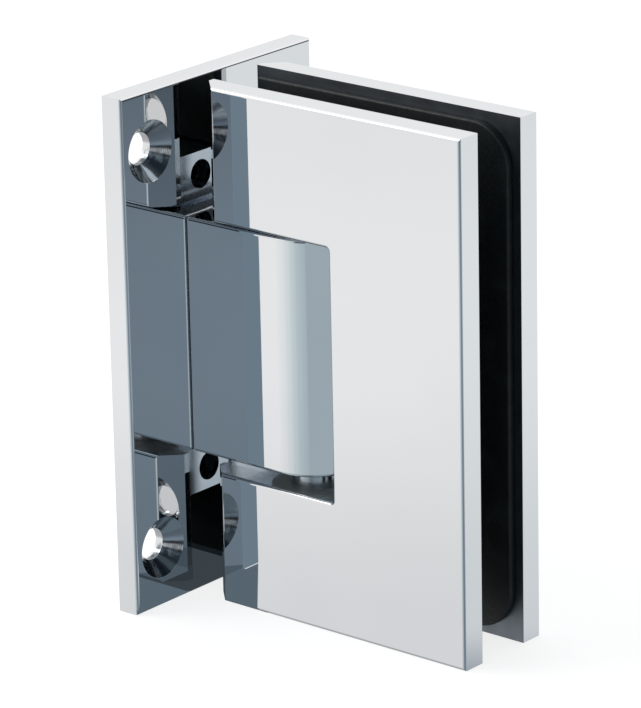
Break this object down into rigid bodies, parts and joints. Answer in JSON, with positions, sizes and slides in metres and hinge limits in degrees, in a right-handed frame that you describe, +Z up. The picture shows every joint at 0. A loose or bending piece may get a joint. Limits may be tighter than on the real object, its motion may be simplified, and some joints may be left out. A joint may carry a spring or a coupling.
{
  "type": "glass door hinge",
  "caption": "Wall-to-glass shower door hinge: full back plate with a knuckle, and a swinging clamp with black gaskets that grips a glass panel.",
  "frame": {"origin": "centre of the back plate's rear face, where it meets the wall", "axes": "+X away from the wall towards the glass, +Z up along the pivot pin, -Y towards the room side"},
  "size_m": [0.0631, 0.048, 0.09],
  "materials": {
    "wall_plate_chrome": "mirror polished",
    "pivot_block_chrome": "mirror polished",
    "clamp_chrome": "mirror polished",
    "pin_block_chrome": "plated, less polished",
    "gasket_rubber": "matt black",
    "pin_steel": "ground",
    "bush_plastic": "moulded",
    "plunger_brass": "turned",
    "spring_steel": "drawn wire",
    "dark_steel": "black oxide",
    "screw_steel": "stainless"
  },
  "bodies": {
    "wall_side": {"wall_plate": "wall_plate_chrome", "pivot_block": "pivot_block_chrome", "block_screw_upper": "screw_steel", "block_screw_lower": "screw_steel", "bush_upper": "bush_plastic", "bush_lower": "bush_plastic", "detent_spring_upper": "spring_steel", "detent_spring_lower": "spring_steel", "spring_plug_upper": "dark_steel", "spring_plug_lower": "dark_steel"},
    "door_clamp": {"front_clamp_plate": "clamp_chrome", "rear_clamp_plate": "clamp_chrome", "front_gasket": "gasket_rubber", "rear_gasket": "gasket_rubber", "pivot_pin": "pin_steel", "pin_block_upper": "pin_block_chrome", "pin_block_lower": "pin_block_chrome", "set_screw_upper": "dark_steel", "set_screw_lower": "dark_steel", "clamp_screw_upper": "screw_steel", "clamp_screw_lower": "screw_steel"},
    "upper_plunger": {"detent_plunger_upper": "plunger_brass"},
    "lower_plunger": {"detent_plunger_lower": "plunger_brass"}
  },
  "joints": [
    {"name": "door_swing", "type": "hinge", "parent": "wall_side", "child": "door_clamp", "pos_m": [0.02359, 0, 0], "axis": [0, 0, 1], "range_deg": [-90, 90]},
    {"name": "upper_plunger_slide", "type": "slide", "parent": "wall_side", "child": "upper_plunger", "axis": [1, 0, 0], "range_m": [0, 0.0007], "stiffness_N_per_m": 400, "springref_m": 0.004},
    {"name": "lower_plunger_slide", "type": "slide", "parent": "wall_side", "child": "lower_plunger", "axis": [1, 0, 0], "range_m": [0, 0.0007], "stiffness_N_per_m": 400, "springref_m": 0.004}
  ]
}
